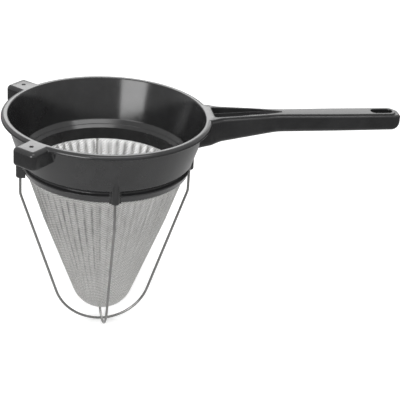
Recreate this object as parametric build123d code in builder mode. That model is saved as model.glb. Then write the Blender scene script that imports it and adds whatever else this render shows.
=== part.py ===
from build123d import *
from math import acos, asin, atan, cos, degrees, hypot, pi, radians, sin, sqrt, tan
import os

# Chinois strainer: a moulded bowl with its handle, a cone of fine woven cloth held in the bowl's collar
# by a retaining ring, and two bent guard wires that cross below the cone.
# Lengths are in millimetres and angles in degrees. The origin is the centre of the rim's top face,
# Z points up along the cone's axis and X runs along the handle. Depths are measured down from the rim.

# Shared values
cut_overrun = 6.0  # how far a cutting shape runs past the face that it opens
nest_gap = 0.1  # clearance between pieces that seat on or nest round one another

# Bowl: rim, funnel wall and inner ledge
rim_radius = 100.0
rim_overhang = 4.7
rim_height = 4.5
rim_outer_round = 3.2
rim_inner_round = 0.8
rim_under_bevel = 0.8
wall_angle = 17.5
wall_thickness = 2.6
wall_foot_depth = 42.1
ledge_depth = 39.9
ledge_width = 4.0
ledge_angle = 45.0

# Bowl: collar below the wall, with its groove and lip
collar_wall = 2.1
groove_floor_depth = 46.3
lip_top_depth = 47.9
lip_top_width = 5.4
lip_bottom_depth = 54.7
lip_bottom_width = 2.4

# Pot lugs at the back of the rim
lug_angle = 45.0
lug_width = 26.0
lug_reach = 18.8
lug_height = 17.0
lug_root = 15.0
lug_corner_round = 4.8
lug_top_round = 4.4
lug_under_round = 2.0
lug_dimple_radius = 1.7
lug_dimple_depth = 0.9
lug_dimple_reach = 6.5

# Guard wires
wire_radius = 1.25
guard_stand = 4.6
guard_knee_depth = 82.9
guard_knee_bend = 14.0
guard_bottom_bend = 48.5
guard_depth = 226.8

# Sockets that hold the guard wires
socket_radius = 4.2
socket_top_depth = 30.9
handle_socket_depth = 59.8
lug_socket_depth = 65.4
side_socket_depth = 55.4
socket_end_round = 1.8
socket_grip = 12.0
socket_web_width = 11.0
socket_web_inset = 0.5

# Handle
handle_length = 190.5
handle_half_width = 9.1
handle_waist_half_width = 8.1
handle_neck_half_width = 16.2
handle_flare_half_width = 21.0
handle_waist_reach = 65.0
handle_swell_reach = 122.0
handle_neck_reach = 9.0
handle_flare_inset = 1.7
handle_flare_bend = 4.0
handle_neck_bend = 9.0
handle_waist_bend = 120.0
handle_swell_bend = 90.0
handle_root_depth = 31.3
handle_knuckle_reach = 5.0
handle_knuckle_depth = 25.2
handle_waist_depth = 18.7
handle_tail_depth = 17.4
handle_belly_bend = 100.0
handle_end_top_round = 4.5
handle_end_under_round = 9.5
handle_end_flat = 1.6
handle_shoulder_round = 1.9
handle_belly_round = 4.0
crown_step = 1.7
crown_inset = 1.3
crown_round = 0.4

# Recess in the handle's top and the hanging slot
recess_rim_gap = 1.6
recess_length = 73.0
recess_half_width = 12.6
recess_taper_share = 0.55
recess_taper_half_width = 8.6
recess_depth = 7.0
recess_tip_depth = 0.6
recess_corner_round = 2.6
recess_taper_bend = 40.0
recess_tip_round = 1.5
slot_length = 22.0
slot_width = 10.4
slot_end_gap = 8.4
slot_crown_rim = 2.8

# Cloth cone, its hem band and the retaining ring
cloth_thickness = 0.7
cloth_side_angle = 18.13
cloth_belly_depth = 105.7
cloth_tip_radius = 31.5
cloth_tip_depth = 209.2
cloth_flutes = 58
cloth_flute_depth = 0.45
hem_thickness = 0.5
hem_height = 7.6
ring_wall = 1.4
ring_draft = 0.7
ring_flange_height = 2.6
ring_bottom_depth = 58.5
ring_bead = 0.4
ring_bead_width = 1.2

# Sizes that follow from the ones above
wall_slope = tan(radians(wall_angle))
wall_level_thickness = wall_thickness / cos(radians(wall_angle))
wall_top_radius = rim_radius - rim_overhang
wall_foot_radius = wall_top_radius - wall_slope * (wall_foot_depth - rim_height)
handle_tip = rim_radius + handle_length
slot_centre = handle_tip - slot_end_gap - slot_length / 2
crown_tip = handle_tip - slot_end_gap + slot_crown_rim


def bore_radius(depth):
    """Inner radius of the funnel wall at a depth below the rim's top."""
    return wall_top_radius - wall_slope * (depth - rim_height) - wall_level_thickness


def nearest(items, point):
    """The one of the items that lies nearest to a point."""
    return items.sort_by_distance(point)[0]


# The ledge runs inwards and down from the funnel wall to the collar's bore.
# The neck outside follows it at the collar's wall thickness and leaves the dark groove above the lip.
ledge_slope = tan(radians(ledge_angle))
seat_depth = ledge_depth + ledge_width / ledge_slope
collar_bore_radius = bore_radius(ledge_depth) - ledge_width
neck_radius = collar_bore_radius + collar_wall
neck_top_radius = (
    bore_radius(ledge_depth)
    + collar_wall / cos(radians(ledge_angle))
    - (wall_foot_depth - ledge_depth) * ledge_slope
)
neck_bend_depth = wall_foot_depth + (neck_top_radius - neck_radius) / ledge_slope
lip_top_radius = collar_bore_radius + lip_top_width
lip_bottom_radius = collar_bore_radius + lip_bottom_width

# The guard wires stand outside the collar, and all four ends reach up to one depth.
guard_radius = collar_bore_radius + guard_stand
wire_top_depth = side_socket_depth - socket_grip
lowest_socket_depth = max(handle_socket_depth, lug_socket_depth, side_socket_depth)

# The pieces in the collar, from its bore inwards: cloth, hem band, sleeve of the retaining ring.
cloth_mouth_radius = collar_bore_radius - nest_gap
hem_radius = cloth_mouth_radius - cloth_thickness
sleeve_radius = hem_radius - hem_thickness - nest_gap
flange_top_depth = seat_depth + nest_gap
flange_bottom_depth = flange_top_depth + ring_flange_height
cloth_top_depth = flange_bottom_depth + nest_gap
bead_depth = flange_top_depth + ring_flange_height / 2

# The cone's side runs from the lip to a slight belly, and from there straight into the round tip.
# Above the belly it is fluted. The radii here are those of the ridges.
cone_slope = tan(radians(cloth_side_angle))
cloth_belly_radius = cloth_mouth_radius - cone_slope * (cloth_belly_depth - lip_bottom_depth)
tip_centre_depth = cloth_tip_depth - cloth_tip_radius
belly_rise = tip_centre_depth - cloth_belly_depth
belly_angle = atan(belly_rise / cloth_belly_radius)
tip_angle = acos(cloth_tip_radius / hypot(cloth_belly_radius, belly_rise)) - belly_angle
cone_level_thickness = cloth_thickness * hypot(1, cone_slope)
ring_foot_radius = (
    cloth_mouth_radius
    - cone_slope * (ring_bottom_depth - lip_bottom_depth)
    - cloth_flute_depth
    - cone_level_thickness
    - nest_gap
)


def handle_plan(inset, tip, depth):
    """Plan of the handle as a closed face: flared root, waist, swelling grip and round end."""
    waist = rim_radius + handle_waist_reach
    swell = rim_radius + handle_swell_reach
    neck = rim_radius + handle_neck_reach
    side = [
        (collar_bore_radius, handle_flare_half_width - inset),
        (rim_radius - handle_flare_inset, handle_flare_half_width - inset),
        (neck, handle_neck_half_width - inset),
        (waist, handle_waist_half_width - inset),
        (swell, handle_half_width - inset),
        (tip, handle_half_width - inset),
    ]
    points = side + [(x, -y) for x, y in reversed(side)]
    bends = [handle_flare_bend, handle_neck_bend, handle_waist_bend, handle_swell_bend]
    end_bend = handle_half_width - inset - handle_end_flat / 2
    with BuildSketch(Plane.XY.offset(-depth)) as plan:
        with BuildLine():
            FilletPolyline(*points, radius=bends + [end_bend, end_bend] + bends[::-1])
            Line(points[-1], points[0])
        make_face()
    return plan.sketch


def guard_path(plane, depth):
    """Centre line of a guard wire: two upright legs, two slanted runs and a round bottom at this depth."""
    drop = depth - guard_bottom_bend - guard_knee_depth
    lean = atan(guard_radius / drop) - asin(guard_bottom_bend / hypot(guard_radius, drop))
    apex_depth = guard_knee_depth + guard_radius / tan(lean)
    points = [
        (guard_radius, -wire_top_depth),
        (guard_radius, -guard_knee_depth),
        (0, -apex_depth),
        (-guard_radius, -guard_knee_depth),
        (-guard_radius, -wire_top_depth),
    ]
    with BuildLine(plane) as path:
        FilletPolyline(*points, radius=[guard_knee_bend, guard_bottom_bend, guard_knee_bend])
    return path.line


def socket(bottom_depth):
    """An upright peg for one end of a guard wire, joined to the collar and drawn along X."""
    with BuildPart() as peg:
        with BuildSketch(Plane.XY.offset(-socket_top_depth)):
            with Locations((guard_radius, 0)):
                Circle(socket_radius)
                Rectangle(guard_radius - hem_radius, 2 * socket_radius, align=(Align.MAX, Align.CENTER))
        extrude(amount=socket_top_depth - bottom_depth)
        fillet(peg.faces().sort_by(Axis.Z)[0].edges(), socket_end_round)
    return peg.part


def fluted_cone(ridge_radius):
    """The space inside a fluted cone, from the lip to the belly, with this ridge radius at the lip."""
    valley_radius = ridge_radius - cloth_flute_depth
    half_pitch = pi / cloth_flutes
    turns = [(2 * step * half_pitch, (2 * step + 1) * half_pitch) for step in range(cloth_flutes)]
    points = []
    for ridge, valley in turns:
        points.append((ridge_radius * cos(ridge), ridge_radius * sin(ridge)))
        points.append((valley_radius * cos(valley), valley_radius * sin(valley)))
    panel_width = hypot(cloth_flute_depth, 2 * sqrt(ridge_radius * valley_radius) * sin(half_pitch / 2))
    panel_distance = ridge_radius * valley_radius * sin(half_pitch) / panel_width
    panel_slope = cone_slope * panel_distance / ridge_radius
    with BuildPart() as cone:
        with BuildSketch(Plane.XY.offset(-lip_bottom_depth)):
            Polygon(*points, align=None)
        extrude(amount=lip_bottom_depth - cloth_belly_depth, taper=degrees(atan(panel_slope)))
    return cone.part


# Handle body: the plan run through the side view, with rounded shoulders and belly
with BuildPart() as handle_body:
    extrude(handle_plan(0, handle_tip, crown_step), amount=-handle_root_depth - cut_overrun)
    with BuildSketch(Plane.XZ.offset(-handle_flare_half_width - cut_overrun)):
        with BuildLine():
            FilletPolyline(
                (collar_bore_radius, -crown_step),
                (collar_bore_radius, -handle_root_depth),
                (rim_radius + handle_knuckle_reach, -handle_knuckle_depth),
                (rim_radius + handle_waist_reach, -handle_waist_depth),
                (handle_tip, -handle_tail_depth),
                (handle_tip, -crown_step),
                radius=[0, 0, handle_belly_bend, handle_belly_bend]
                + [handle_end_under_round, handle_end_top_round],
                close=True,
            )
        make_face()
    extrude(amount=2 * (handle_flare_half_width + cut_overrun), mode=Mode.INTERSECT)
    rims = handle_body.edges().filter_by(Axis.Y, reverse=True).filter_by(Axis.Z, reverse=True)
    fillet(rims.filter_by_position(Axis.Z, -handle_root_depth, -handle_tail_depth / 2), handle_belly_round)
    rims = handle_body.edges().filter_by(Axis.Y, reverse=True).filter_by(Axis.Z, reverse=True)
    fillet(rims.filter_by_position(Axis.Z, -handle_end_top_round, 0), handle_shoulder_round)

# Crown: the flat strip along the handle's top, level with the rim
with BuildPart() as handle_crown:
    extrude(handle_plan(crown_inset, crown_tip, 0), amount=-crown_step - handle_shoulder_round)
    fillet(handle_crown.faces().sort_by(Axis.Z)[-1].edges().filter_by(Axis.Y, reverse=True), crown_round)

# Recess: a tapering trough whose floor climbs towards its tip
with BuildPart() as recess:
    recess_start = rim_radius + recess_rim_gap
    recess_end = recess_start + recess_length
    recess_middle = recess_start + recess_taper_share * recess_length
    with BuildSketch():
        with BuildLine():
            FilletPolyline(
                (recess_start, recess_half_width),
                (recess_middle, recess_taper_half_width),
                (recess_end, 0),
                (recess_middle, -recess_taper_half_width),
                (recess_start, -recess_half_width),
                radius=[
                    recess_corner_round,
                    recess_taper_bend,
                    recess_tip_round,
                    recess_taper_bend,
                    recess_corner_round,
                ],
                close=True,
            )
        make_face()
    extrude(amount=-recess_depth)
    with BuildSketch(Plane.XZ.offset(-recess_half_width - cut_overrun)):
        with BuildLine():
            Polyline(
                (recess_start, cut_overrun),
                (recess_start, -recess_depth),
                (recess_end, -recess_tip_depth),
                (recess_end, cut_overrun),
                close=True,
            )
        make_face()
    extrude(amount=2 * (recess_half_width + cut_overrun), mode=Mode.INTERSECT)

# One pot lug, drawn along X: a block with rounded outer corners and a dimple in its top
with BuildPart() as lug:
    with BuildSketch():
        with Locations((rim_radius + (lug_reach - lug_root) / 2, 0)):
            Rectangle(lug_root + lug_reach, lug_width)
    extrude(amount=-lug_height)
    outer_edges = lug.edges().filter_by(Axis.Z).sort_by(Axis.X)[-2:]
    fillet(outer_edges, lug_corner_round)
    fillet(lug.faces().sort_by(Axis.Z)[-1].edges().sort_by(Axis.X)[1:], lug_top_round)
    fillet(lug.faces().sort_by(Axis.Z)[0].edges().sort_by(Axis.X)[1:], lug_under_round)
    with BuildSketch():
        with Locations((rim_radius + lug_dimple_reach, 0)):
            Circle(lug_dimple_radius)
    extrude(amount=-lug_dimple_depth, mode=Mode.SUBTRACT)

# Bowl and handle: one moulding
with BuildPart() as bowl:
    # Rim, funnel wall, neck and lip, solid at first
    with BuildSketch(Plane.XZ) as outside:
        with BuildLine():
            Polyline(
                (0, 0),
                (rim_radius, 0),
                (rim_radius, -rim_height),
                (wall_top_radius, -rim_height),
                (wall_foot_radius, -wall_foot_depth),
                (neck_top_radius, -wall_foot_depth),
                (neck_radius, -neck_bend_depth),
                (neck_radius, -groove_floor_depth),
                (lip_top_radius, -lip_top_depth),
                (lip_bottom_radius, -lip_bottom_depth),
                (0, -lip_bottom_depth),
                close=True,
            )
        make_face()
        fillet(nearest(outside.vertices(), (rim_radius, 0)), rim_outer_round)
        chamfer(nearest(outside.vertices(), (rim_radius, -rim_height)), rim_under_bevel)
    revolve(axis=Axis.Z)

    # Wire sockets: upright pegs that grow out of the wall, each between two webs across the groove
    add(socket(handle_socket_depth))
    add(socket(side_socket_depth), rotation=(0, 0, 90))
    add(socket(lug_socket_depth), rotation=(0, 0, 180))
    add(socket(side_socket_depth), rotation=(0, 0, 270))
    with BuildSketch(Plane.XY.offset(-ledge_depth)):
        with PolarLocations((neck_radius + lip_top_radius) / 2 - socket_web_inset, 4):
            Rectangle(lip_top_radius - neck_radius, socket_web_width)
    extrude(amount=ledge_depth - lip_bottom_depth)

    # Lugs, handle body and handle crown
    for turn in (180 - lug_angle, 180 + lug_angle):
        add(lug.part, rotation=(0, 0, turn))
    add(handle_body.part)
    add(handle_crown.part)

    # Inside of the bowl, with the ledge, the collar's bore and the groove for the ring's bead
    with BuildSketch(Plane.XZ):
        with BuildLine():
            Polyline(
                (0, cut_overrun),
                (bore_radius(0), cut_overrun),
                (bore_radius(0), 0),
                (bore_radius(ledge_depth), -ledge_depth),
                (collar_bore_radius, -seat_depth),
                (collar_bore_radius, -bead_depth + ring_bead_width / 2 + nest_gap),
                (collar_bore_radius + ring_bead, -bead_depth),
                (collar_bore_radius, -bead_depth - ring_bead_width / 2 - nest_gap),
                (collar_bore_radius, -lowest_socket_depth - cut_overrun),
                (0, -lowest_socket_depth - cut_overrun),
                close=True,
            )
        make_face()
    revolve(axis=Axis.Z, mode=Mode.SUBTRACT)

    # Bores for the wires
    with BuildSketch(Plane.XY.offset(-wire_top_depth)):
        with PolarLocations(guard_radius, 4):
            Circle(wire_radius)
    extrude(amount=wire_top_depth - lowest_socket_depth, mode=Mode.SUBTRACT)

    # Recess and hanging slot
    add(recess.part, mode=Mode.SUBTRACT)
    with BuildSketch():
        with Locations((slot_centre, 0)):
            SlotOverall(slot_length, slot_width)
    extrude(amount=-handle_root_depth, mode=Mode.SUBTRACT)

    # Rounded inner edge of the rim
    fillet(nearest(bowl.edges().filter_by(GeomType.CIRCLE), (bore_radius(0), 0, 0)), rim_inner_round)

# Cloth cone: an upright mouth in the collar, a fluted side down to a slight belly, and a round tip
with BuildPart() as mesh_cone:
    add(fluted_cone(cloth_mouth_radius))
    add(fluted_cone(cloth_mouth_radius - cone_level_thickness), mode=Mode.SUBTRACT)
    with BuildSketch(Plane.XY.offset(-cloth_top_depth)):
        Circle(cloth_mouth_radius)
        Circle(hem_radius, mode=Mode.SUBTRACT)
    extrude(amount=cloth_top_depth - lip_bottom_depth)
    with BuildSketch(Plane.XZ):
        with BuildLine():
            tip = CenterArc((0, -tip_centre_depth), cloth_tip_radius, -90, 90 - degrees(tip_angle))
            Line(tip @ 1, (cloth_belly_radius, -cloth_belly_depth))
            offset(amount=cloth_thickness, side=Side.LEFT)
        make_face()
    revolve(axis=Axis.Z)

# Hem band: a strip welded round the inside of the cloth's mouth
with BuildPart() as mesh_hem_band:
    with BuildSketch(Plane.XY.offset(-cloth_top_depth)):
        Circle(hem_radius)
        Circle(hem_radius - hem_thickness, mode=Mode.SUBTRACT)
    extrude(amount=-hem_height)

# Retaining ring: flange with a snap bead, and a sleeve that presses the hem against the collar
with BuildPart() as retaining_ring:
    sleeve_bore = sleeve_radius - ring_wall
    with BuildSketch(Plane.XZ):
        with BuildLine():
            Polyline(
                (cloth_mouth_radius, -flange_top_depth),
                (sleeve_bore, -flange_top_depth - (cloth_mouth_radius - sleeve_bore) / ledge_slope),
                (sleeve_bore - ring_draft, -ring_bottom_depth),
                (ring_foot_radius, -ring_bottom_depth),
                (sleeve_radius, -lip_bottom_depth),
                (sleeve_radius, -flange_bottom_depth),
                (cloth_mouth_radius, -flange_bottom_depth),
                (cloth_mouth_radius, -bead_depth - ring_bead_width / 2),
                (cloth_mouth_radius + ring_bead, -bead_depth),
                (cloth_mouth_radius, -bead_depth + ring_bead_width / 2),
                close=True,
            )
        make_face()
    revolve(axis=Axis.Z)

# Guard wires: one in the handle's plane and one square to it, which passes close above it
lengthwise_path = guard_path(Plane.XZ, guard_depth)
with BuildPart() as guard_wire_lengthwise:
    with BuildSketch(Plane(origin=lengthwise_path @ 0, z_dir=lengthwise_path % 0)):
        Circle(wire_radius)
    sweep(path=lengthwise_path)

crosswise_path = guard_path(Plane.YZ, guard_depth - 2 * wire_radius - nest_gap)
with BuildPart() as guard_wire_crosswise:
    with BuildSketch(Plane(origin=crosswise_path @ 0, z_dir=crosswise_path % 0)):
        Circle(wire_radius)
    sweep(path=crosswise_path)

# Labels and files
pieces = {
    "bowl_and_handle": bowl,
    "retaining_ring": retaining_ring,
    "mesh_cone": mesh_cone,
    "mesh_hem_band": mesh_hem_band,
    "guard_wire_lengthwise": guard_wire_lengthwise,
    "guard_wire_crosswise": guard_wire_crosswise,
}
os.makedirs("parts", exist_ok=True)
for name, piece in pieces.items():
    piece.part.label = name
    export_step(piece.part, "parts/" + name + ".step")
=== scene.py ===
from math import acos, atan2, cos, hypot, pi, radians, sin, sqrt

import bpy
from bpy.props import (
    FloatProperty,
    FloatVectorProperty,
    IntProperty,
    PointerProperty,
)
from mathutils import Matrix, Vector


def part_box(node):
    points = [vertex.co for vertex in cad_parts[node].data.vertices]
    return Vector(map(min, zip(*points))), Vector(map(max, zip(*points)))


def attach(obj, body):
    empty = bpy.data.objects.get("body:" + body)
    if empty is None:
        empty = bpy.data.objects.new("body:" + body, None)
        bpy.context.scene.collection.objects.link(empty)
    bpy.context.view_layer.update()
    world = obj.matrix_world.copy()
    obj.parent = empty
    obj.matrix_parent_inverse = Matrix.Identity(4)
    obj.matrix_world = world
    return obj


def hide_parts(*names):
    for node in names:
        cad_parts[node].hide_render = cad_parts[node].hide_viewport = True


bl_info = {
    "name": "Conical Strainer",
    "version": (1, 0, 0),
    "blender": (4, 5, 0),
    "location": "3D View > Sidebar > Strainer",
    "description": "Finishes a conical strainer: moulded bowl, woven cloth cone and guard wires",
    "category": "Object",
}

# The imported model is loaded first, so that the sizes below can follow it.
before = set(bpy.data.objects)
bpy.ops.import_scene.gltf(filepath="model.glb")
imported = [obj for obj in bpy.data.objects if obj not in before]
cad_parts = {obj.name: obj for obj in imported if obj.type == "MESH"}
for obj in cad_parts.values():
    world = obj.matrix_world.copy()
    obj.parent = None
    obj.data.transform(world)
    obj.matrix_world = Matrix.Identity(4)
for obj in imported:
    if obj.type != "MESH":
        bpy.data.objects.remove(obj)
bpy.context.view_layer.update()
BODY = "root"

CLOTH_LOW, CLOTH_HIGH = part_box("mesh_cone")
GUARD_LOW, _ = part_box("guard_wire_lengthwise")

# Where the lamps stand, and how wide and high they are, in metres.
LAMP_TARGET = (0.0, 0.0, -0.02)
WINDOW_PLACE = (-0.794, -0.973, 0.336)
WINDOW_SIZE = (0.72, 0.5)
OVERHEAD_PLACE = (0.14, -0.52, 1.18)
OVERHEAD_SIZE = (1.2, 0.34)
BACK_PLACE = (0.05, 1.6, 0.80)
BACK_SIZE = (0.8, 0.5)
HANDLE_LAMP_PLACE = (0.8, 1.6, 0.68)
HANDLE_LAMP_SIZE = (0.65, 0.5)

# The floor's bright pool in reflections, and the floor itself, in metres.
POOL_INSIDE = 0.34
POOL_OUTSIDE = 0.57
FLOOR_REACH = 6.0
FLOOR_COLOUR = (0.92, 0.92, 0.92)
FLOOR_GLOW = 0.3
FLOOR_ROUGHNESS = 0.9

# The surroundings in reflections: where backdrop and ceiling begin, as parts of a direction.
BACKDROP_EDGE = (-0.15, 0.45)
CEILING_EDGE = (0.1, 0.7)
CEILING_SHADE = 0.95

SENSOR_WIDTH = 36.0
NEAR_CLIP = 0.05
FAR_CLIP = 20.0

# How fine the textures are, in features to the metre.
MOTTLE_SCALE = 45.0
SCUFF_SCALE = 160.0
GRAIN_SCALE = 1400.0
STREAK_SCALE = 900.0
STRIP_LINE_SCALE = (30.0, 30.0, 6000.0)
DRIFT_SCALE = 25.0

# How deep their bumps are, in metres.
GRAIN_DEPTH = 0.00002
STREAK_DEPTH = 0.00001
STRIP_LINE_DEPTH = 0.00002
THREAD_DEPTH = 0.00015

# The darkest and the lightest places, as shares of the colour or the roughness that is set.
COMPOSITE_SHADES = (0.85, 1.2)
COMPOSITE_SCUFFS = (0.85, 1.35)
WIRE_SHADES = (0.9, 1.08)
STRIP_SHADES = (0.9, 1.05)
CLOTH_SHADES = (0.25, 1.1)

WIRE_ROUGHNESS = (0.16, 0.26)
STRIP_ROUGHNESS = (0.25, 0.4)
CLOTH_ROUGHNESS = 0.5

# The moulding's refraction, and how far its edges are rounded in the shading.
COMPOSITE_IOR = 1.5
EDGE_RADIUS = 0.0016
EDGE_SAMPLES = 8

# The weave: how far a thread dips, where its edge is, and how dark the finer rows and drifts are.
THREAD_SWAY = 0.25
THREAD_EDGE = 0.12
ROW_EDGE = 0.4
FINE_ROW_LIGHT = 0.45
DRIFT_LIGHT = 0.86

# The folds, which get painted shade: from where they show, and how closed and how dark with painted shade
# the deepest of them are.
FOLD_START = 0.1
FOLD_FULL = 0.8
FOLD_COVER = 0.6
FOLD_SHADE_LIGHTNESS = 0.12

# Steps of the cloth's mesh.
COLUMNS_PER_RIPPLE = 10
CLOTH_ROWS = 110

# Where the ripples start below the lip and grow, and where they fade, as depths in metres.
RIPPLE_START = 0.0038
RIPPLE_GROWTH = 0.006
FADE_START = 0.085
FADE_END = 0.205
FADE_SHARE = 0.9

# The side where the ripples are weaker, how far it reaches, and how much is lost there.
CALM_SIDE = radians(-40.0)
CALM_EDGE = 0.55
CALM_SPREAD = 0.4
CALM_SHARE = 0.72

# How uneven the ripples are, in height and in place, and how strong and how narrow the painted shade of
# each fold is.
HEIGHT_MEAN = 0.85
HEIGHT_SWING = 0.3
PLACE_SWING = 0.9
FOLD_SHADE_MEAN = 0.62
FOLD_SHADE_SWING = 0.38
FOLD_SHADE_TURNS = 5.0
FOLD_SHADE_PER_DEPTH = 40.0
FOLD_SHADE_SHARPNESS = 4

# The waves that make up a wandering value: how quick, how far shifted and how large each is.
WANDER_WAVES = ((3.0, 0.7, 0.45), (7.0, 2.1, 0.3), (13.0, 4.4, 0.25))

# Edges that turn by more than this stay sharp, and points nearer than this are joined.
SHARP_ANGLE = radians(24.0)
JOIN_DISTANCE = 0.000002


# Sizes and colours that a user would change


class ClothSizes(bpy.types.PropertyGroup):
    """Shape of the woven cloth cone"""

    lip_depth: FloatProperty(
        name="Lip depth",
        description="Depth below the rim at which the cloth leaves the collar",
        default=0.0547,
        unit="LENGTH",
    )
    belly_radius: FloatProperty(
        name="Belly radius",
        description="Radius where the cone's side bends slightly",
        default=0.0606,
        unit="LENGTH",
    )
    belly_depth: FloatProperty(
        name="Belly depth",
        description="Depth below the rim of the slight bend in the cone's side",
        default=0.1057,
        unit="LENGTH",
    )
    tip_radius: FloatProperty(
        name="Tip radius",
        description="Radius of the round tip",
        default=0.0315,
        unit="LENGTH",
    )
    thickness: FloatProperty(
        name="Cloth thickness",
        description="Thickness of the woven cloth",
        default=0.0005,
        unit="LENGTH",
    )
    ripples: IntProperty(
        name="Ripples",
        description="Upright ripples round the cone's mouth",
        default=58,
        min=8,
    )
    ripple_height: FloatProperty(
        name="Ripple height",
        description="Height of the deepest ripples, from trough to crest",
        default=0.0019,
        unit="LENGTH",
    )
    thread_pitch: FloatProperty(
        name="Thread pitch",
        description="Distance between neighbouring threads of the weave",
        default=0.00105,
        unit="LENGTH",
    )
    open_share: FloatProperty(
        name="Open share",
        description="Share of the cloth's area that the holes between the threads take",
        default=0.45,
        min=0.05,
        max=0.8,
        subtype="FACTOR",
    )


class FinishColours(bpy.types.PropertyGroup):
    """Colours and gloss of the strainer's materials"""

    composite: FloatVectorProperty(
        name="Moulded composite",
        description="Colour of the bowl, the handle and the retaining ring",
        subtype="COLOR",
        default=(0.017, 0.017, 0.0175),
        min=0.0,
        max=1.0,
    )
    composite_roughness: FloatProperty(
        name="Composite roughness",
        description="Roughness of the moulded surfaces",
        default=0.14,
        min=0.0,
        max=1.0,
        subtype="FACTOR",
    )
    cloth: FloatVectorProperty(
        name="Cloth",
        description="Colour of the woven stainless cloth",
        subtype="COLOR",
        default=(0.80, 0.795, 0.78),
        min=0.0,
        max=1.0,
    )
    wire: FloatVectorProperty(
        name="Guard wire",
        description="Colour of the drawn guard wires",
        subtype="COLOR",
        default=(0.28, 0.28, 0.275),
        min=0.0,
        max=1.0,
    )
    strip: FloatVectorProperty(
        name="Hem strip",
        description="Colour of the rolled strip inside the cloth's mouth",
        subtype="COLOR",
        default=(0.62, 0.62, 0.61),
        min=0.0,
        max=1.0,
    )


class StudioSizes(bpy.types.PropertyGroup):
    """Camera and light of the studio"""

    elevation: FloatProperty(
        name="Camera elevation",
        description="How far the camera looks down",
        default=radians(26.31),
        subtype="ANGLE",
    )
    turn: FloatProperty(
        name="Camera turn",
        description="Angle between the handle and the camera's level line",
        default=radians(11.57),
        subtype="ANGLE",
    )
    roll: FloatProperty(
        name="Camera roll",
        description="Tilt of the camera about its own line of sight",
        default=radians(3.98),
        subtype="ANGLE",
    )
    distance: FloatProperty(
        name="Camera distance",
        description="Distance from the camera to the centre of the rim, along the line of sight",
        default=1.18405,
        subtype="DISTANCE",
    )
    aside: FloatProperty(
        name="Camera aside",
        description="How far the camera stands to the right of the rim's centre",
        default=0.08761,
        subtype="DISTANCE",
    )
    above: FloatProperty(
        name="Camera above",
        description="How far the camera stands above the rim's centre",
        default=-0.08222,
        subtype="DISTANCE",
    )
    lens: FloatProperty(
        name="Lens",
        description="Focal length on a sensor 36 mm wide",
        default=112.5,
        min=10.0,
    )
    sky: FloatProperty(
        name="Sky light",
        description="Strength of the even light all round",
        default=0.75,
        min=0.0,
    )
    room: FloatProperty(
        name="Room in reflections",
        description="How bright the room in front looks in the strainer's reflections",
        default=0.62,
        min=0.0,
        max=1.0,
        subtype="FACTOR",
    )
    pool: FloatProperty(
        name="Floor in reflections",
        description="How bright the floor near the strainer looks in its reflections",
        default=0.58,
        min=0.0,
        max=1.0,
        subtype="FACTOR",
    )
    far_floor: FloatProperty(
        name="Far floor in reflections",
        description="How bright the floor further away looks in the strainer's reflections",
        default=0.16,
        min=0.0,
        max=1.0,
        subtype="FACTOR",
    )
    window: FloatProperty(
        name="Window power",
        description="Power of the softbox at the front left, whose reflection shows inside the bowl",
        default=8.0,
        min=0.0,
        unit="POWER",
    )
    overhead: FloatProperty(
        name="Overhead power",
        description="Power of the softbox above",
        default=4.9,
        min=0.0,
        unit="POWER",
    )
    backlight: FloatProperty(
        name="Back light power",
        description="Power of the light behind, which picks out the top faces",
        default=3.7,
        min=0.0,
        unit="POWER",
    )
    handle_light: FloatProperty(
        name="Handle light power",
        description="Power of the light behind on the right, which shows along the handle's top",
        default=1.3,
        min=0.0,
        unit="POWER",
    )


# Node helpers


def new_material(name):
    """A fresh node material with a Principled shader and its output."""
    material = bpy.data.materials.new(name)
    material.use_nodes = True
    tree = material.node_tree
    tree.nodes.clear()
    output = tree.nodes.new("ShaderNodeOutputMaterial")
    shader = tree.nodes.new("ShaderNodeBsdfPrincipled")
    tree.links.new(shader.outputs["BSDF"], output.inputs["Surface"])
    return material, tree, shader, output


def link(tree, source, target):
    """Joins an output socket to an input socket."""
    tree.links.new(source, target)


def place(tree):
    """Object coordinates, which stay with the piece."""
    return tree.nodes.new("ShaderNodeTexCoord").outputs["Object"]


def noise(tree, vector, scale, detail=3.0, roughness=0.5):
    """A noise texture's value."""
    node = tree.nodes.new("ShaderNodeTexNoise")
    node.inputs["Scale"].default_value = scale
    node.inputs["Detail"].default_value = detail
    node.inputs["Roughness"].default_value = roughness
    link(tree, vector, node.inputs["Vector"])
    return node.outputs["Fac"]


def span(tree, value, low, high, to_low, to_high):
    """A value carried from one range to another."""
    node = tree.nodes.new("ShaderNodeMapRange")
    node.inputs["From Min"].default_value = low
    node.inputs["From Max"].default_value = high
    node.inputs["To Min"].default_value = to_low
    node.inputs["To Max"].default_value = to_high
    link(tree, value, node.inputs["Value"])
    return node.outputs["Result"]


def calculate(tree, operation, first, second=0.0):
    """One arithmetic step between two values, either of which may be a number."""
    node = tree.nodes.new("ShaderNodeMath")
    node.operation = operation
    for socket, value in zip(node.inputs, (first, second)):
        if isinstance(value, (int, float)):
            socket.default_value = value
        else:
            link(tree, value, socket)
    return node.outputs["Value"]


def blend_colour(tree, factor, first, second):
    """A mix of two colours by a value."""
    node = tree.nodes.new("ShaderNodeMix")
    node.data_type = "RGBA"
    for socket, value in ((node.inputs[6], first), (node.inputs[7], second)):
        if isinstance(value, (tuple, list)):
            socket.default_value = tuple(value)[:3] + (1.0,)
        else:
            link(tree, value, socket)
    link(tree, factor, node.inputs["Factor"])
    return node.outputs[2]


def bump(tree, height, distance, strength=1.0, normal=None):
    """Bump from a height value."""
    node = tree.nodes.new("ShaderNodeBump")
    node.inputs["Strength"].default_value = strength
    node.inputs["Distance"].default_value = distance
    link(tree, height, node.inputs["Height"])
    if normal is not None:
        link(tree, normal, node.inputs["Normal"])
    return node.outputs["Normal"]


def shade(colour, factor):
    """A colour made lighter or darker."""
    return tuple(min(1.0, part * factor) for part in colour)


# Materials


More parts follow.
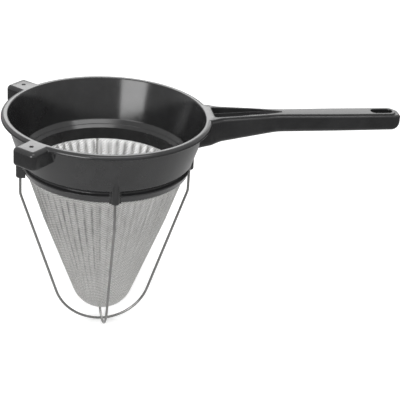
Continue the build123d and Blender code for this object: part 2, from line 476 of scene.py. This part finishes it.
def composite_material(colours, name, worn):
    """Black fibre-filled moulding: satin gloss, faint mottling, fine grain, and soft edges if worn."""
    material, tree, shader, _ = new_material(name)
    where = place(tree)
    mottle = noise(tree, where, MOTTLE_SCALE, detail=4.0, roughness=0.6)
    grain = noise(tree, where, GRAIN_SCALE, detail=2.0)
    dark, light = COMPOSITE_SHADES
    tone = blend_colour(
        tree,
        span(tree, mottle, 0.35, 0.65, 0.0, 1.0),
        shade(colours.composite, dark),
        shade(colours.composite, light),
    )
    link(tree, tone, shader.inputs["Base Color"])
    scuffs = noise(tree, where, SCUFF_SCALE, detail=5.0, roughness=0.65)
    sleek, dull = COMPOSITE_SCUFFS
    roughness = colours.composite_roughness
    gloss = span(tree, scuffs, 0.3, 0.75, roughness * sleek, roughness * dull)
    link(tree, gloss, shader.inputs["Roughness"])
    normal = None
    if worn:
        edge = tree.nodes.new("ShaderNodeBevel")
        edge.samples = EDGE_SAMPLES
        edge.inputs["Radius"].default_value = EDGE_RADIUS
        normal = edge.outputs["Normal"]
    relief = bump(tree, grain, GRAIN_DEPTH, strength=0.35, normal=normal)
    link(tree, relief, shader.inputs["Normal"])
    shader.inputs["IOR"].default_value = COMPOSITE_IOR
    return material


def wire_material(colours):
    """Drawn stainless wire: bright, with fine lines along it."""
    material, tree, shader, _ = new_material("drawn_wire")
    where = place(tree)
    shader.inputs["Metallic"].default_value = 1.0
    streaks = noise(tree, where, STREAK_SCALE, detail=2.0)
    dark, light = WIRE_SHADES
    tone = blend_colour(tree, streaks, shade(colours.wire, dark), shade(colours.wire, light))
    link(tree, tone, shader.inputs["Base Color"])
    link(tree, span(tree, streaks, 0.3, 0.7, *WIRE_ROUGHNESS), shader.inputs["Roughness"])
    link(tree, bump(tree, streaks, STREAK_DEPTH, strength=0.3), shader.inputs["Normal"])
    return material


def strip_material(colours):
    """Rolled stainless strip with fine lines round it."""
    material, tree, shader, _ = new_material("rolled_strip")
    where = place(tree)
    shader.inputs["Metallic"].default_value = 1.0
    mapping = tree.nodes.new("ShaderNodeMapping")
    mapping.inputs["Scale"].default_value = STRIP_LINE_SCALE
    link(tree, where, mapping.inputs["Vector"])
    lines = noise(tree, mapping.outputs["Vector"], 1.0, detail=2.0)
    dark, light = STRIP_SHADES
    tone = blend_colour(tree, lines, shade(colours.strip, dark), shade(colours.strip, light))
    link(tree, tone, shader.inputs["Base Color"])
    link(tree, span(tree, lines, 0.3, 0.7, *STRIP_ROUGHNESS), shader.inputs["Roughness"])
    link(tree, bump(tree, lines, STRIP_LINE_DEPTH, strength=0.3), shader.inputs["Normal"])
    return material


def cloth_material(colours, sizes):
    """Woven stainless cloth: threads over and under along the flat cloth's own two directions, with
    painted shade in the folds.
    """
    material, tree, shader, _ = new_material("woven_cloth")
    flat = tree.nodes.new("ShaderNodeUVMap")
    flat.uv_map = "flat_cloth"
    split = tree.nodes.new("ShaderNodeSeparateXYZ")
    link(tree, flat.outputs["UV"], split.inputs["Vector"])
    turn = pi / sizes.thread_pitch
    # the level of the wave at which a thread ends and a hole begins
    edge = sin(sqrt(sizes.open_share) * pi / 2)

    def thread(across, along):
        """Height of one set of threads, which dip under every second crossing thread."""
        wave = calculate(tree, "COSINE", calculate(tree, "MULTIPLY", across, turn))
        profile = calculate(tree, "ABSOLUTE", wave)
        sway_across = calculate(tree, "SINE", calculate(tree, "MULTIPLY", along, turn))
        sway = calculate(tree, "MULTIPLY", sway_across, calculate(tree, "SIGN", wave))
        body = span(tree, profile, edge, 1.0, 0.0, 1.0)
        dip = calculate(tree, "MULTIPLY", sway, THREAD_SWAY)
        lift = calculate(tree, "ADD", dip, 1.0 - THREAD_SWAY)
        return calculate(tree, "MULTIPLY", body, lift)

    u = split.outputs["X"]
    v = split.outputs["Y"]
    height = calculate(tree, "MAXIMUM", thread(u, v), thread(v, u))
    cover = span(tree, height, 0.0, THREAD_EDGE, 0.0, 1.0)
    drift = noise(tree, place(tree), DRIFT_SCALE)
    shader.inputs["Metallic"].default_value = 1.0
    # every second row is a heavier thread, which shows as fine lines round the cone
    rows = calculate(tree, "COSINE", calculate(tree, "MULTIPLY", v, turn))
    heavy = span(tree, rows, -ROW_EDGE, ROW_EDGE, FINE_ROW_LIGHT, 1.0)
    # painted shade: the folds between the ripples are darkened, and they are closer woven to the eye
    fold_shades = tree.nodes.new("ShaderNodeAttribute")
    fold_shades.attribute_name = "fold_shade"
    fold_shade = fold_shades.outputs["Fac"]
    even = calculate(tree, "MULTIPLY", heavy, span(tree, drift, 0.3, 0.7, DRIFT_LIGHT, 1.0))
    closed = span(tree, fold_shade, FOLD_START, FOLD_FULL, 0.0, FOLD_COVER)
    cover = calculate(tree, "MAXIMUM", cover, closed)
    lit = calculate(tree, "MULTIPLY", even, span(tree, fold_shade, 0.0, FOLD_FULL, 1.0, FOLD_SHADE_LIGHTNESS))
    dark, light = CLOTH_SHADES
    tone = blend_colour(tree, lit, shade(colours.cloth, dark), shade(colours.cloth, light))
    link(tree, tone, shader.inputs["Base Color"])
    shader.inputs["Roughness"].default_value = CLOTH_ROUGHNESS
    link(tree, bump(tree, height, THREAD_DEPTH, strength=0.6), shader.inputs["Normal"])
    link(tree, cover, shader.inputs["Alpha"])
    return material


def shared_material(name, context):
    """The material of that name, made at its first use."""
    made = bpy.data.materials.get(name)
    if made:
        return made
    colours = context.scene.strainer_finish
    if name == "moulded_composite":
        return composite_material(colours, name, True)
    if name == "moulded_sleeve":
        return composite_material(colours, name, False)
    if name == "drawn_wire":
        return wire_material(colours)
    if name == "rolled_strip":
        return strip_material(colours)
    if name == "woven_cloth":
        return cloth_material(colours, context.scene.strainer_cloth)
    raise RuntimeError("no such finish: " + name)


# Shapes


def cone_profile(sizes, rows):
    """Radius and depth down the cloth's outside, from its top edge to the tip, evenly spaced."""
    mouth = CLOTH_HIGH.x
    top = -CLOTH_HIGH.z
    tip_depth = -CLOTH_LOW.z
    tip_radius = sizes.tip_radius
    belly = sizes.belly_radius
    centre = tip_depth - tip_radius
    rise = centre - sizes.belly_depth
    far = hypot(belly, rise)
    angle = acos(tip_radius / far) - atan2(rise, belly)
    edge = (tip_radius * cos(angle), centre + tip_radius * sin(angle))
    corners = [(mouth, top), (mouth, sizes.lip_depth), (belly, sizes.belly_depth), edge]
    path = []
    for (r0, d0), (r1, d1) in zip(corners, corners[1:]):
        path.append((hypot(r1 - r0, d1 - d0), (r0, d0), (r1, d1)))
    straight = sum(length for length, _, _ in path)
    total = straight + tip_radius * (pi / 2 - angle)
    points = []
    for row in range(rows + 1):
        points.append(profile_point(total * row / rows, path, (straight, tip_radius, centre, angle)))
    return points


def profile_point(travelled, path, tip):
    """The point of the cone's side at a distance down from its top edge."""
    straight, tip_radius, centre, angle = tip
    if travelled >= straight:
        turned = angle + (travelled - straight) / tip_radius
        return (tip_radius * cos(turned), centre + tip_radius * sin(turned))
    for length, (r0, d0), (r1, d1) in path:
        if travelled <= length:
            break
        travelled -= length
    share = min(1.0, travelled / length)
    return (r0 + (r1 - r0) * share, d0 + (d1 - d0) * share)


def steady(value):
    """A smooth wandering value between -1 and 1, the same in each run."""
    return sum(sin(rate * value + shift) * share for rate, shift, share in WANDER_WAVES)


def smooth(value):
    """Eases from 0 to 1."""
    value = max(0.0, min(1.0, value))
    return value * value * (3.0 - 2.0 * value)


def ripple_at(angle, depth, sizes):
    """How far the cloth dips inwards at a place, and how strong the painted shade of its fold is there,
    from 0 to 1.
    """
    reach = smooth((depth - sizes.lip_depth - RIPPLE_START) / RIPPLE_GROWTH)
    fade = 1.0 - FADE_SHARE * smooth((depth - FADE_START) / (FADE_END - FADE_START))
    # the ripples are weaker on the side that faces the front right
    calm = 0.5 + 0.5 * cos(angle - CALM_SIDE)
    strength = 1.0 - CALM_SHARE * smooth((calm - CALM_EDGE) / CALM_SPREAD)
    strength *= HEIGHT_MEAN + HEIGHT_SWING * steady(angle * 2.0)
    wave = 0.5 - 0.5 * cos(sizes.ripples * angle + PLACE_SWING * steady(angle))
    force = reach * fade * strength
    # no two folds get the same painted shade, and none is the same all the way down
    fold_shade_strength = FOLD_SHADE_MEAN + FOLD_SHADE_SWING * steady(angle * FOLD_SHADE_TURNS + depth * FOLD_SHADE_PER_DEPTH)
    return sizes.ripple_height * force * wave, force * fold_shade_strength * (1.0 - wave) ** FOLD_SHADE_SHARPNESS


def build_cloth(sizes):
    """Mesh of the cloth cone, with its flat development as UV coordinates in metres."""
    columns = sizes.ripples * COLUMNS_PER_RIPPLE
    rows = CLOTH_ROWS
    profile = cone_profile(sizes, rows)
    vertices = []
    faces = []
    flat = []
    fold_shades = []
    travelled = [0.0]
    for (r0, d0), (r1, d1) in zip(profile, profile[1:]):
        travelled.append(travelled[-1] + hypot(r1 - r0, d1 - d0))
    slant = travelled[-1]
    # the cone opened out into a flat sheet, whose threads run square to each other
    spread = profile[0][0] / slant
    for radius, depth in profile[:-1]:
        for column in range(columns):
            angle = 2 * pi * column / columns
            dip, fold_shade = ripple_at(angle, depth, sizes)
            r = radius - dip * min(1.0, radius / sizes.tip_radius)
            fold_shades.append(fold_shade)
            vertices.append((r * cos(angle), r * sin(angle), -depth))
    tip = len(vertices)
    vertices.append((0.0, 0.0, -profile[-1][1]))
    fold_shades.append(0.0)
    for row in range(rows - 1):
        for column in range(columns):
            after = (column + 1) % columns
            a = row * columns
            b = a + columns
            faces.append((a + column, b + column, b + after, a + after))
            flat.append([(row, column), (row + 1, column), (row + 1, column + 1), (row, column + 1)])
    last = (rows - 1) * columns
    for column in range(columns):
        after = (column + 1) % columns
        faces.append((last + column, tip, last + after))
        flat.append([(rows - 1, column), (rows, column + 0.5), (rows - 1, column + 1)])
    mesh = bpy.data.meshes.new("cloth_cone")
    mesh.from_pydata(vertices, [], faces)
    # the painted shade of the folds, kept as a value at each point for the cloth's material
    mesh.attributes.new("fold_shade", "FLOAT", "POINT").data.foreach_set("value", fold_shades)
    layer = mesh.uv_layers.new(name="flat_cloth")
    index = 0
    for corners in flat:
        for row, column in corners:
            far = slant - travelled[row]
            turn = spread * 2 * pi * (column / columns - 0.5)
            layer.data[index].uv = (far * sin(turn) + 0.5, far * cos(turn) + 0.5)
            index += 1
    for polygon in mesh.polygons:
        polygon.use_smooth = True
    mesh.update()
    return mesh


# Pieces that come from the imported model


def dress(node, material):
    """Gives a carried-over piece its material and soft shading across its small facets."""
    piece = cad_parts[node]
    piece.data.materials.clear()
    piece.data.materials.append(material)
    soften(piece)


def soften(piece):
    """Adds a modifier that joins the facets and shades them smoothly up to a set angle."""
    tree = bpy.data.node_groups.get("smooth_facets") or facet_smoother()
    modifier = piece.modifiers.new("smooth_facets", "NODES")
    modifier.node_group = tree


def facet_smoother():
    """Node group that joins coincident points and smooths all edges but the sharp ones."""
    tree = bpy.data.node_groups.new("smooth_facets", "GeometryNodeTree")
    tree.interface.new_socket("Geometry", in_out="INPUT", socket_type="NodeSocketGeometry")
    tree.interface.new_socket("Geometry", in_out="OUTPUT", socket_type="NodeSocketGeometry")
    entry = tree.nodes.new("NodeGroupInput")
    leave = tree.nodes.new("NodeGroupOutput")
    join = tree.nodes.new("GeometryNodeMergeByDistance")
    join.inputs["Distance"].default_value = JOIN_DISTANCE
    angle = tree.nodes.new("GeometryNodeInputMeshEdgeAngle")
    sharp = tree.nodes.new("FunctionNodeCompare")
    sharp.data_type = "FLOAT"
    sharp.operation = "LESS_THAN"
    sharp.inputs["B"].default_value = SHARP_ANGLE
    edges = tree.nodes.new("GeometryNodeSetShadeSmooth")
    edges.domain = "EDGE"
    whole = tree.nodes.new("GeometryNodeSetShadeSmooth")
    whole.domain = "FACE"
    link(tree, entry.outputs["Geometry"], join.inputs["Geometry"])
    link(tree, join.outputs["Geometry"], whole.inputs["Geometry"])
    link(tree, whole.outputs["Geometry"], edges.inputs["Geometry"])
    link(tree, angle.outputs["Unsigned Angle"], sharp.inputs["A"])
    link(tree, sharp.outputs["Result"], edges.inputs["Shade Smooth"])
    link(tree, edges.outputs["Geometry"], leave.inputs["Geometry"])
    return tree


# Studio


def camera_axes(studio):
    """The camera's right, up and forward directions in the strainer's frame."""
    elevation = studio.elevation
    roll = studio.roll
    forward = Vector((0.0, cos(elevation), -sin(elevation)))
    right = Vector((1.0, 0.0, 0.0))
    up = right.cross(forward)
    rolled_right = cos(roll) * right + sin(roll) * up
    rolled_up = cos(roll) * up - sin(roll) * right
    back_turn = Matrix.Rotation(-studio.turn, 3, "Z")
    return back_turn @ rolled_right, back_turn @ rolled_up, back_turn @ forward


def add_camera(scene, studio):
    """The camera at the photograph's viewing angle."""
    right, up, forward = camera_axes(studio)
    data = bpy.data.cameras.new("studio_camera")
    data.sensor_width = SENSOR_WIDTH
    data.lens = studio.lens
    data.clip_start = NEAR_CLIP
    data.clip_end = FAR_CLIP
    camera = bpy.data.objects.new("studio_camera", data)
    # above is negative, because the rim's centre shows above the middle of the picture
    place_at = studio.aside * right + studio.above * up - studio.distance * forward
    camera.matrix_world = Matrix(
        (
            (right.x, up.x, -forward.x, place_at.x),
            (right.y, up.y, -forward.y, place_at.y),
            (right.z, up.z, -forward.z, place_at.z),
            (0.0, 0.0, 0.0, 1.0),
        )
    )
    scene.collection.objects.link(camera)
    scene.camera = camera


def add_softbox(scene, name, at, size, power):
    """A rectangular lamp aimed at the bowl, which the camera doesn't see."""
    data = bpy.data.lights.new(name, "AREA")
    data.shape = "RECTANGLE"
    data.size, data.size_y = size
    data.energy = power
    lamp = bpy.data.objects.new(name, data)
    lamp.location = at
    lamp.rotation_mode = "QUATERNION"
    lamp.rotation_quaternion = (Vector(LAMP_TARGET) - Vector(at)).to_track_quat("-Z", "Y")
    lamp.visible_camera = False
    scene.collection.objects.link(lamp)


def pale_world(scene, studio):
    """An even pale surrounding, white to the camera, with a bright backdrop and ceiling in reflections."""
    world = bpy.data.worlds.new("studio_air")
    world.use_nodes = True
    tree = world.node_tree
    tree.nodes.clear()
    out = tree.nodes.new("ShaderNodeOutputWorld")
    sky = tree.nodes.new("ShaderNodeBackground")
    sky.inputs["Color"].default_value = (1.0, 1.0, 1.0, 1.0)
    sky.inputs["Strength"].default_value = studio.sky
    white = tree.nodes.new("ShaderNodeBackground")
    white.inputs["Color"].default_value = (1.0, 1.0, 1.0, 1.0)
    rays = tree.nodes.new("ShaderNodeLightPath")
    mix = tree.nodes.new("ShaderNodeMixShader")
    # reflections find the backdrop white, the ceiling pale and the room in front dark
    way = tree.nodes.new("ShaderNodeSeparateXYZ")
    direction = tree.nodes.new("ShaderNodeTexCoord").outputs["Generated"]
    link(tree, direction, way.inputs["Vector"])
    backdrop = span(tree, way.outputs["Y"], *BACKDROP_EDGE, studio.room, 1.0)
    ceiling = span(tree, way.outputs["Z"], *CEILING_EDGE, studio.room, CEILING_SHADE)
    plain = calculate(tree, "MAXIMUM", rays.outputs["Is Camera Ray"], rays.outputs["Is Transmission Ray"])
    strength = calculate(tree, "MAXIMUM", plain, calculate(tree, "MAXIMUM", backdrop, ceiling))
    link(tree, strength, white.inputs["Strength"])
    seen = calculate(tree, "MAXIMUM", plain, rays.outputs["Is Glossy Ray"])
    link(tree, seen, mix.inputs["Fac"])
    link(tree, sky.outputs["Background"], mix.inputs[1])
    link(tree, white.outputs["Background"], mix.inputs[2])
    link(tree, mix.outputs["Shader"], out.inputs["Surface"])
    scene.world = world


def floor_material(studio):
    """Matt white floor that keeps the strainer's shadow and looks bright in reflections only close by."""
    material, tree, shader, output = new_material("pale_floor")
    shader.inputs["Roughness"].default_value = FLOOR_ROUGHNESS
    shader.inputs["Specular IOR Level"].default_value = 0.0
    glow = tree.nodes.new("ShaderNodeEmission")
    glow.inputs["Color"].default_value = (1.0, 1.0, 1.0, 1.0)
    rays = tree.nodes.new("ShaderNodeLightPath")
    length = tree.nodes.new("ShaderNodeVectorMath")
    length.operation = "LENGTH"
    link(tree, place(tree), length.inputs[0])
    pool = span(tree, length.outputs["Value"], POOL_INSIDE, POOL_OUTSIDE, studio.pool, studio.far_floor)
    plain = calculate(tree, "MAXIMUM", rays.outputs["Is Camera Ray"], rays.outputs["Is Transmission Ray"])
    mirrored = calculate(tree, "MULTIPLY", rays.outputs["Is Glossy Ray"], pool)
    seen = calculate(tree, "MAXIMUM", plain, mirrored)
    link(tree, calculate(tree, "MULTIPLY", seen, FLOOR_GLOW), glow.inputs["Strength"])
    away = calculate(tree, "SUBTRACT", 1.0, pool)
    dimmed = calculate(tree, "MULTIPLY", rays.outputs["Is Glossy Ray"], away)
    tone = blend_colour(tree, dimmed, FLOOR_COLOUR, (0.0, 0.0, 0.0))
    link(tree, tone, shader.inputs["Base Color"])
    both = tree.nodes.new("ShaderNodeAddShader")
    link(tree, shader.outputs["BSDF"], both.inputs[0])
    link(tree, glow.outputs["Emission"], both.inputs[1])
    link(tree, both.outputs["Shader"], output.inputs["Surface"])
    return material


def add_floor(scene, studio):
    """A wide plain floor under the guard wires."""
    half = FLOOR_REACH
    low = GUARD_LOW.z
    mesh = bpy.data.meshes.new("floor")
    corners = [(-half, -half, low), (half, -half, low), (half, half, low), (-half, half, low)]
    mesh.from_pydata(corners, [], [(0, 1, 2, 3)])
    floor_object = bpy.data.objects.new("floor", mesh)
    mesh.materials.append(floor_material(studio))
    scene.collection.objects.link(floor_object)


# Operators


class STRAINER_OT_bowl(bpy.types.Operator):
    """Finish the moulded bowl with its handle, lugs and sockets"""

    bl_idname = "strainer.bowl"
    bl_label = "Bowl and Handle"

    def execute(self, context):
        dress("bowl_and_handle", shared_material("moulded_composite", context))
        return {"FINISHED"}


class STRAINER_OT_ring(bpy.types.Operator):
    """Finish the ring that holds the cloth in the collar"""

    bl_idname = "strainer.ring"
    bl_label = "Retaining Ring"

    def execute(self, context):
        dress("retaining_ring", shared_material("moulded_sleeve", context))
        return {"FINISHED"}


class STRAINER_OT_hem(bpy.types.Operator):
    """Finish the strip inside the cloth's mouth"""

    bl_idname = "strainer.hem"
    bl_label = "Hem Band"

    def execute(self, context):
        dress("mesh_hem_band", shared_material("rolled_strip", context))
        return {"FINISHED"}


class STRAINER_OT_wires(bpy.types.Operator):
    """Finish the two guard wires"""

    bl_idname = "strainer.wires"
    bl_label = "Guard Wires"

    def execute(self, context):
        for node in ("guard_wire_lengthwise", "guard_wire_crosswise"):
            dress(node, shared_material("drawn_wire", context))
        return {"FINISHED"}


class STRAINER_OT_cloth(bpy.types.Operator):
    """Make the rippled cone of woven cloth"""

    bl_idname = "strainer.cloth"
    bl_label = "Cloth Cone"

    def execute(self, context):
        sizes = context.scene.strainer_cloth
        piece = bpy.data.objects.new("cloth_cone", build_cloth(sizes))
        context.scene.collection.objects.link(piece)
        piece.data.materials.append(shared_material("woven_cloth", context))
        wall = piece.modifiers.new("cloth_wall", "SOLIDIFY")
        wall.thickness = sizes.thickness
        wall.offset = -1.0
        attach(piece, BODY)
        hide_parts("mesh_cone")
        return {"FINISHED"}


class STRAINER_OT_stage(bpy.types.Operator):
    """Set up the floor, the light and the camera"""

    bl_idname = "strainer.stage"
    bl_label = "Studio"

    def execute(self, context):
        scene = context.scene
        studio = scene.strainer_studio
        add_camera(scene, studio)
        add_floor(scene, studio)
        pale_world(scene, studio)
        add_softbox(scene, "window_softbox", WINDOW_PLACE, WINDOW_SIZE, studio.window)
        add_softbox(scene, "overhead_softbox", OVERHEAD_PLACE, OVERHEAD_SIZE, studio.overhead)
        add_softbox(scene, "back_softbox", BACK_PLACE, BACK_SIZE, studio.backlight)
        add_softbox(scene, "handle_softbox", HANDLE_LAMP_PLACE, HANDLE_LAMP_SIZE, studio.handle_light)
        scene.view_settings.view_transform = "Standard"
        return {"FINISHED"}


class STRAINER_PT_panel(bpy.types.Panel):
    """Lists the strainer's operators"""

    bl_label = "Strainer"
    bl_idname = "STRAINER_PT_panel"
    bl_space_type = "VIEW_3D"
    bl_region_type = "UI"
    bl_category = "Strainer"

    def draw(self, context):
        for operator in OPERATORS:
            self.layout.operator(operator.bl_idname)
        scene = context.scene
        for group in (scene.strainer_cloth, scene.strainer_finish, scene.strainer_studio):
            for name in group.__annotations__:
                self.layout.prop(group, name)


GROUPS = (ClothSizes, FinishColours, StudioSizes)
OPERATORS = (
    STRAINER_OT_stage,
    STRAINER_OT_bowl,
    STRAINER_OT_ring,
    STRAINER_OT_hem,
    STRAINER_OT_cloth,
    STRAINER_OT_wires,
)


def register():
    """Adds the sizes, operators and panel to Blender."""
    for cls in GROUPS + OPERATORS + (STRAINER_PT_panel,):
        bpy.utils.register_class(cls)
    bpy.types.Scene.strainer_cloth = PointerProperty(type=ClothSizes)
    bpy.types.Scene.strainer_finish = PointerProperty(type=FinishColours)
    bpy.types.Scene.strainer_studio = PointerProperty(type=StudioSizes)


def unregister():
    """Takes them out again."""
    del bpy.types.Scene.strainer_cloth
    del bpy.types.Scene.strainer_finish
    del bpy.types.Scene.strainer_studio
    for cls in (STRAINER_PT_panel,) + OPERATORS[::-1] + GROUPS[::-1]:
        bpy.utils.unregister_class(cls)


def main():
    """Builds the whole scene."""
    register()
    bpy.ops.strainer.stage()
    bpy.ops.strainer.bowl()
    bpy.ops.strainer.ring()
    bpy.ops.strainer.hem()
    bpy.ops.strainer.cloth()
    bpy.ops.strainer.wires()


if __name__ == "__main__":
    main()
